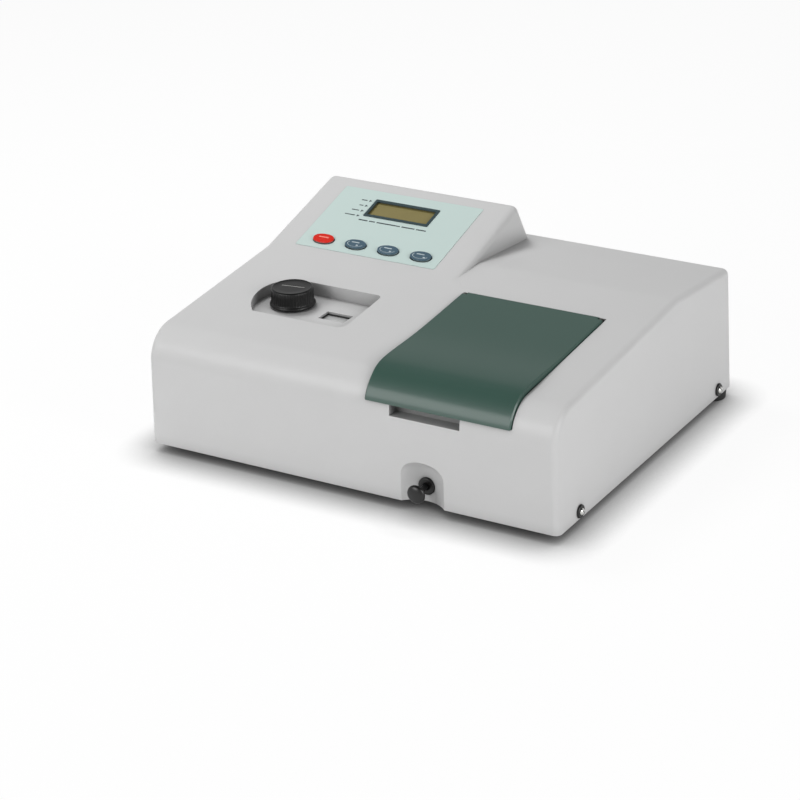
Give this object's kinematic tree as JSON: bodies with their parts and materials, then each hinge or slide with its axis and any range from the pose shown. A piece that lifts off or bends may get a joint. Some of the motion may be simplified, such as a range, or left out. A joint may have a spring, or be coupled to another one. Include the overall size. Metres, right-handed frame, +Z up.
{
  "type": "visible spectrophotometer",
  "caption": "Bench spectrophotometer with a sloping grey case, raised control panel, wavelength knob in a recess, hinged sample lid and a pull rod that moves the cell carriage.",
  "frame": {"origin": "middle of the footprint on the bench, under the feet", "axes": "+X to the right seen from the front, +Y to the back, +Z up"},
  "size_m": [0.4826, 0.4146, 0.1889],
  "materials": {
    "case_plastic": "light grey, fine moulded texture",
    "base_steel": "grey paint",
    "rubber": "matt black",
    "bright_steel": "bright",
    "steel": "turned",
    "black_nylon": "black",
    "lid_plastic": "dark grey green, satin",
    "black_anodised": "black anodised",
    "knob_black": "black, fine texture",
    "label": "pale blue green film",
    "bezel": "dark blue green",
    "display_olive": "olive liquid crystal",
    "key_red": "red",
    "key_blue": "slate blue",
    "tub_black": "matt black",
    "clear_glass": "clear",
    "window": "clear over a pale scale",
    "mirror": "front silvered",
    "cast_metal": "sand cast",
    "dial_white": "white",
    "brass": "turned",
    "zinc_sheet": "zinc plated",
    "board_green": "green laminate",
    "core_iron": "laminated",
    "coil_tape": "yellow tape",
    "heat_sink": "extruded",
    "component_black": "black",
    "ceramic": "pale"
  },
  "bodies": {
    "case": {"top_cover": "case_plastic", "base_plate": "base_steel", "rubber_feet": "rubber", "cup_washers": "black_nylon", "side_screws": "bright_steel", "hinge_ears": "steel", "hinge_pins": "steel", "sample_compartment": "tub_black", "light_windows": "clear_glass", "guide_rods": "steel", "rod_bush": "black_anodised", "knob_bush": "brass", "dial_lens": "window", "mono_casting": "cast_metal", "mono_lid": "cast_metal", "slit_plates": "black_anodised", "mirrors": "mirror", "lamp_housing": "zinc_sheet", "lamp_bulb": "clear_glass", "lamp_socket": "ceramic", "panel_label": "label", "display_bezel": "bezel", "display_glass": "display_olive", "display_cell": "component_black", "circuit_boards": "board_green", "board_posts": "steel", "board_parts": "component_black", "rear_panel": "base_steel", "mains_inlet": "component_black", "inlet_blades": "steel", "fuse_holder": "component_black", "switch_housing": "component_black", "transformer_core": "core_iron", "transformer_coil": "coil_tape", "heat_sink": "heat_sink", "detector_box": "tub_black"},
    "lid": {"sample_lid": "lid_plastic"},
    "carriage": {"cell_carriage": "black_anodised", "pull_rod": "black_anodised", "pull_knob": "knob_black"},
    "knob": {"wavelength_knob": "knob_black", "knob_shaft": "steel", "knob_pinion": "brass"},
    "dial": {"dial_wheel": "dial_white", "dial_pinion": "brass", "dial_shaft": "steel"},
    "grating_drive": {"sector_arm": "brass", "grating_table": "cast_metal", "grating": "mirror"},
    "button_1": {"key_1": "key_red"},
    "button_2": {"key_2": "key_blue"},
    "button_3": {"key_3": "key_blue"},
    "button_4": {"key_4": "key_blue"},
    "rocker": {"power_rocker": "component_black"}
  },
  "joints": [
    {"name": "lid_hinge", "type": "hinge", "parent": "case", "child": "lid", "pos_m": [0.10475, 0.00546, 0.14971], "axis": [-1, 0, 0], "range_deg": [0, 100]},
    {"name": "knob_spin", "type": "hinge", "parent": "case", "child": "knob", "pos_m": [-0.1394, -0.06202, 0.134], "axis": [0, 0, 1], "range_deg": [-675, 675]},
    {"name": "dial_spin", "type": "hinge", "parent": "case", "child": "dial", "pos_m": [-0.07511, -0.02339, 0.121], "axis": [0, 0, 1], "range_deg": [-130, 130]},
    {"name": "grating_turn", "type": "hinge", "parent": "case", "child": "grating_drive", "pos_m": [-0.0153, -0.05128, 0.095], "axis": [0, 0, 1], "range_deg": [-13.5, 13.5]},
    {"name": "carriage_slide", "type": "slide", "parent": "case", "child": "carriage", "axis": [0, -1, 0], "range_m": [0, 0.051]},
    {"name": "key_1_press", "type": "slide", "parent": "case", "child": "button_1", "axis": [0, 0.2698, -0.9629], "range_m": [0, 0.001], "stiffness_N_per_m": 500, "springref_m": -0.0006},
    {"name": "key_2_press", "type": "slide", "parent": "case", "child": "button_2", "axis": [0, 0.2698, -0.9629], "range_m": [0, 0.001], "stiffness_N_per_m": 500, "springref_m": -0.0006},
    {"name": "key_3_press", "type": "slide", "parent": "case", "child": "button_3", "axis": [0, 0.2698, -0.9629], "range_m": [0, 0.001], "stiffness_N_per_m": 500, "springref_m": -0.0006},
    {"name": "key_4_press", "type": "slide", "parent": "case", "child": "button_4", "axis": [0, 0.2698, -0.9629], "range_m": [0, 0.001], "stiffness_N_per_m": 500, "springref_m": -0.0006},
    {"name": "power_switch", "type": "hinge", "parent": "case", "child": "rocker", "pos_m": [-0.081, 0.19695, 0.05487], "axis": [-1, 0, 0], "range_deg": [0, 24]}
  ],
  "couplings": [
    {"joint": "dial_spin", "follows": "knob_spin", "ratio": -0.19048},
    {"joint": "grating_turn", "follows": "knob_spin", "ratio": 0.019048}
  ]
}
